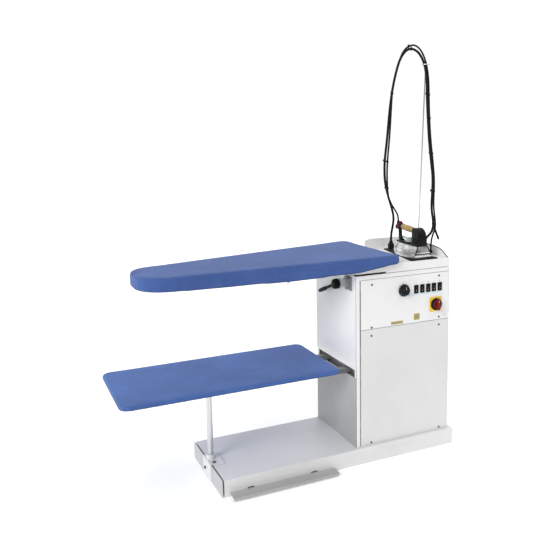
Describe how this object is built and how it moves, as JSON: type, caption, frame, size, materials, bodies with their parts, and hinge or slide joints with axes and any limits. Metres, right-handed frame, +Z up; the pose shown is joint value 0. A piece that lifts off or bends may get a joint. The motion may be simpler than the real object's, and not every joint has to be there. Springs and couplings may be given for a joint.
{
  "type": "steam generator ironing table",
  "caption": "Free-standing vacuum ironing table: padded blue upper and lower boards on a white cabinet with a steam generator, hose rod and cork-handled steam iron.",
  "frame": {"origin": "on the floor, under the middle of the cabinet, on the underside of the base pan", "axes": "+Z up, +X towards the end with the cabinet and the iron, the control panel faces -Y"},
  "size_m": [1.492, 0.549, 1.8083],
  "materials": {
    "white_paint": "white powder coat, satin",
    "base_paint": "light grey-white powder coat, satin",
    "dark_steel": "black painted steel",
    "zinc_steel": "zinc-plated steel",
    "stainless": "brushed stainless steel",
    "screw_steel": "blackened screws",
    "blue_fabric": "woven blue cotton cover over padding",
    "board_wood": "plywood core",
    "black_plastic": "moulded black plastic",
    "red_plastic": "red knob plastic",
    "maroon_plastic": "dark red moulded plastic",
    "yellow_plate": "yellow plastic plate",
    "black_rubber": "matt rubber",
    "silicone": "black silicone mat",
    "cork": "cork grip",
    "polished_aluminium": "polished cast aluminium",
    "grey_plastic": "grey dial plastic",
    "boiler_steel": "welded stainless boiler"
  },
  "bodies": {
    "root": {"base_tray": "base_paint", "base_pan": "zinc_steel", "base_end_plate": "base_paint", "pedal_hinge": "zinc_steel", "pedal_spring": "zinc_steel", "pedal_switch": "black_plastic", "cabinet_frame": "white_paint", "side_rail": "zinc_steel", "left_upper_panel": "white_paint", "left_lower_panel": "white_paint", "right_panel": "white_paint", "back_panel": "white_paint", "control_panel": "white_paint", "front_lower_panel": "white_paint", "panel_screws": "screw_steel", "top_cover": "white_paint", "gallery": "stainless", "iron_rest_mat": "silicone", "steam_outlet": "black_plastic", "cable_gland": "black_plastic", "hose_rod": "stainless", "rod_socket": "dark_steel", "steam_hose": "black_rubber", "iron_cable": "black_rubber", "hose_ties": "black_plastic", "main_switch_plate": "yellow_plate", "rocker_frames": "black_plastic", "board_stop": "zinc_steel", "lower_board_core": "board_wood", "lower_board_cover": "blue_fabric", "shelf_bracket": "zinc_steel", "board_post": "stainless", "post_foot": "base_paint", "boiler": "boiler_steel", "fan_housing": "zinc_steel", "fan_motor": "dark_steel"},
    "pedal": {"pedal": "base_paint"},
    "upper_board": {"board_chamber": "zinc_steel", "board_cover": "blue_fabric", "board_column": "zinc_steel"},
    "clamp_lever": {"clamp_lever": "black_plastic"},
    "iron": {"iron_sole": "polished_aluminium", "iron_body": "polished_aluminium", "iron_housing": "black_plastic", "iron_handle": "cork", "iron_front_post": "black_plastic", "iron_head": "maroon_plastic", "iron_boot": "black_rubber", "steam_hose_tail": "black_rubber", "iron_cable_tail": "black_rubber"},
    "steam_button": {"steam_button": "black_plastic"},
    "iron_dial": {"iron_dial": "grey_plastic"},
    "thermostat_knob": {"thermostat_knob": "black_plastic"},
    "main_switch_knob": {"main_switch_knob": "red_plastic"},
    "fan_rotor": {"fan_impeller": "polished_aluminium"},
    "rocker_1": {"rocker_1": "black_plastic"},
    "rocker_2": {"rocker_2": "black_plastic"},
    "rocker_3": {"rocker_3": "black_plastic"},
    "rocker_4": {"rocker_4": "black_plastic"},
    "rocker_5": {"rocker_5": "black_plastic"}
  },
  "joints": [
    {"name": "pedal_press", "type": "hinge", "parent": "root", "child": "pedal", "pos_m": [-0.5865, -0.1315, 0.013], "axis": [1, 0, 0], "range_deg": [0, 2.5], "stiffness_Nm_per_rad": 60, "springref_deg": -2.86, "deforming": ["pedal_spring"]},
    {"name": "board_height", "type": "slide", "parent": "root", "child": "upper_board", "axis": [0, 0, 1], "range_m": [0, 0.1]},
    {"name": "clamp_turn", "type": "hinge", "parent": "root", "child": "clamp_lever", "pos_m": [-0.2535, -0.0355, 0.766], "axis": [1, 0, 0], "range_deg": [-60, 0]},
    {"name": "iron_lift", "type": "slide", "parent": "root", "child": "iron", "axis": [0, 0, 1], "range_m": [0, 0.06], "deforming": ["steam_hose_tail", "iron_cable_tail"]},
    {"name": "steam_button_press", "type": "slide", "parent": "iron", "child": "steam_button", "axis": [0, 0, -1], "range_m": [0, 0.004], "stiffness_N_per_m": 600, "springref_m": -0.002},
    {"name": "iron_dial_turn", "type": "hinge", "parent": "iron", "child": "iron_dial", "pos_m": [0.1155, -0.0515, 0.935], "axis": [0, 0, 1], "range_deg": [0, 270]},
    {"name": "thermostat_turn", "type": "hinge", "parent": "root", "child": "thermostat_knob", "pos_m": [-0.0025, -0.2015, 0.741], "axis": [0, 1, 0], "range_deg": [0, 270]},
    {"name": "main_switch_turn", "type": "hinge", "parent": "root", "child": "main_switch_knob", "pos_m": [0.1625, -0.2015, 0.662], "axis": [0, 1, 0], "range_deg": [0, 90]},
    {"name": "fan_spin", "type": "hinge", "parent": "root", "child": "fan_rotor", "pos_m": [-0.1055, 0.0085, 0.42], "axis": [0, 1, 0], "continuous": true},
    {"name": "rocker_1_tip", "type": "hinge", "parent": "root", "child": "rocker_1", "pos_m": [0.0615, -0.1895, 0.739], "axis": [1, 0, 0], "range_deg": [-12, 0]},
    {"name": "rocker_2_tip", "type": "hinge", "parent": "root", "child": "rocker_2", "pos_m": [0.0925, -0.1895, 0.739], "axis": [1, 0, 0], "range_deg": [-12, 0]},
    {"name": "rocker_3_tip", "type": "hinge", "parent": "root", "child": "rocker_3", "pos_m": [0.1235, -0.1895, 0.739], "axis": [1, 0, 0], "range_deg": [-12, 0]},
    {"name": "rocker_4_tip", "type": "hinge", "parent": "root", "child": "rocker_4", "pos_m": [0.1535, -0.1895, 0.739], "axis": [1, 0, 0], "range_deg": [-12, 0]},
    {"name": "rocker_5_tip", "type": "hinge", "parent": "root", "child": "rocker_5", "pos_m": [0.1845, -0.1895, 0.739], "axis": [1, 0, 0], "range_deg": [-12, 0]}
  ]
}
